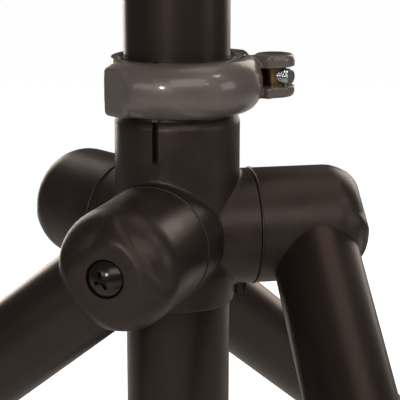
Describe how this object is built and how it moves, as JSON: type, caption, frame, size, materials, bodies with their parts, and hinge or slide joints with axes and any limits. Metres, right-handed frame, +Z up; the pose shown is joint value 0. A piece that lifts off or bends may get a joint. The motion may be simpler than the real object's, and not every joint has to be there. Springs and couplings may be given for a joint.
{
  "type": "tripod hunting stand",
  "caption": "Folding tripod stand: moulded hub with radial arms, splayed tubular legs that fold on pivot screws, and a sliding round mast gripped by a lever clamp.",
  "frame": {"origin": "floor plane, on the mast axis, midway between the three feet with the legs spread", "axes": "+Z up along the mast; +X along arm 1's axis, away from the mast"},
  "size_m": [0.8522, 0.7857, 0.8661],
  "materials": {
    "moulded_brown": "satin moulded glass-filled plastic, dark brown",
    "bronze_tube": "satin dark bronze powder coat",
    "lever_paint": "semi-gloss grey-brown paint on a casting",
    "black_steel": "black oxide, glossy",
    "zinc_steel": "bright zinc",
    "brass": "dull brass",
    "foot_rubber": "matte black rubber",
    "cap_plastic": "matte black plastic"
  },
  "bodies": {
    "hub": {"hub_body": "moulded_brown", "hub_insert_1": "brass", "pivot_washer_1": "black_steel", "pivot_screw_1": "black_steel", "hub_insert_2": "brass", "pivot_washer_2": "black_steel", "pivot_screw_2": "black_steel", "hub_insert_3": "brass", "pivot_washer_3": "black_steel", "pivot_screw_3": "black_steel", "clamp_band": "lever_paint", "tension_bolt": "zinc_steel", "tension_nut": "zinc_steel", "cam_seat": "brass", "barrel_pin": "brass"},
    "lever": {"clamp_lever": "lever_paint"},
    "mast": {"mast_tube": "bronze_tube", "mast_top_cap": "cap_plastic", "mast_bottom_plug": "cap_plastic"},
    "leg_1": {"knuckle_1": "moulded_brown", "leg_tube_1": "bronze_tube", "leg_foot_1": "foot_rubber"},
    "leg_2": {"knuckle_2": "moulded_brown", "leg_tube_2": "bronze_tube", "leg_foot_2": "foot_rubber"},
    "leg_3": {"knuckle_3": "moulded_brown", "leg_tube_3": "bronze_tube", "leg_foot_3": "foot_rubber"}
  },
  "joints": [
    {"name": "leg_1_fold", "type": "hinge", "parent": "hub", "child": "leg_1", "pos_m": [0.04896, 0, 0.39313], "axis": [1, 0, 0], "range_deg": [0, 51.4]},
    {"name": "leg_2_fold", "type": "hinge", "parent": "hub", "child": "leg_2", "pos_m": [-0.02448, 0.0424, 0.39313], "axis": [-0.5, 0.866, 0], "range_deg": [0, 51.4]},
    {"name": "leg_3_fold", "type": "hinge", "parent": "hub", "child": "leg_3", "pos_m": [-0.02448, -0.0424, 0.39313], "axis": [-0.5, -0.866, 0], "range_deg": [0, 51.4]},
    {"name": "mast_slide", "type": "slide", "parent": "hub", "child": "mast", "axis": [0, 0, 1], "range_m": [-0.15, 0.17]},
    {"name": "lever_open", "type": "hinge", "parent": "hub", "child": "lever", "pos_m": [0.03583, 0.00147, 0.44823], "axis": [0, 0, 1], "range_deg": [0, 150]}
  ]
}
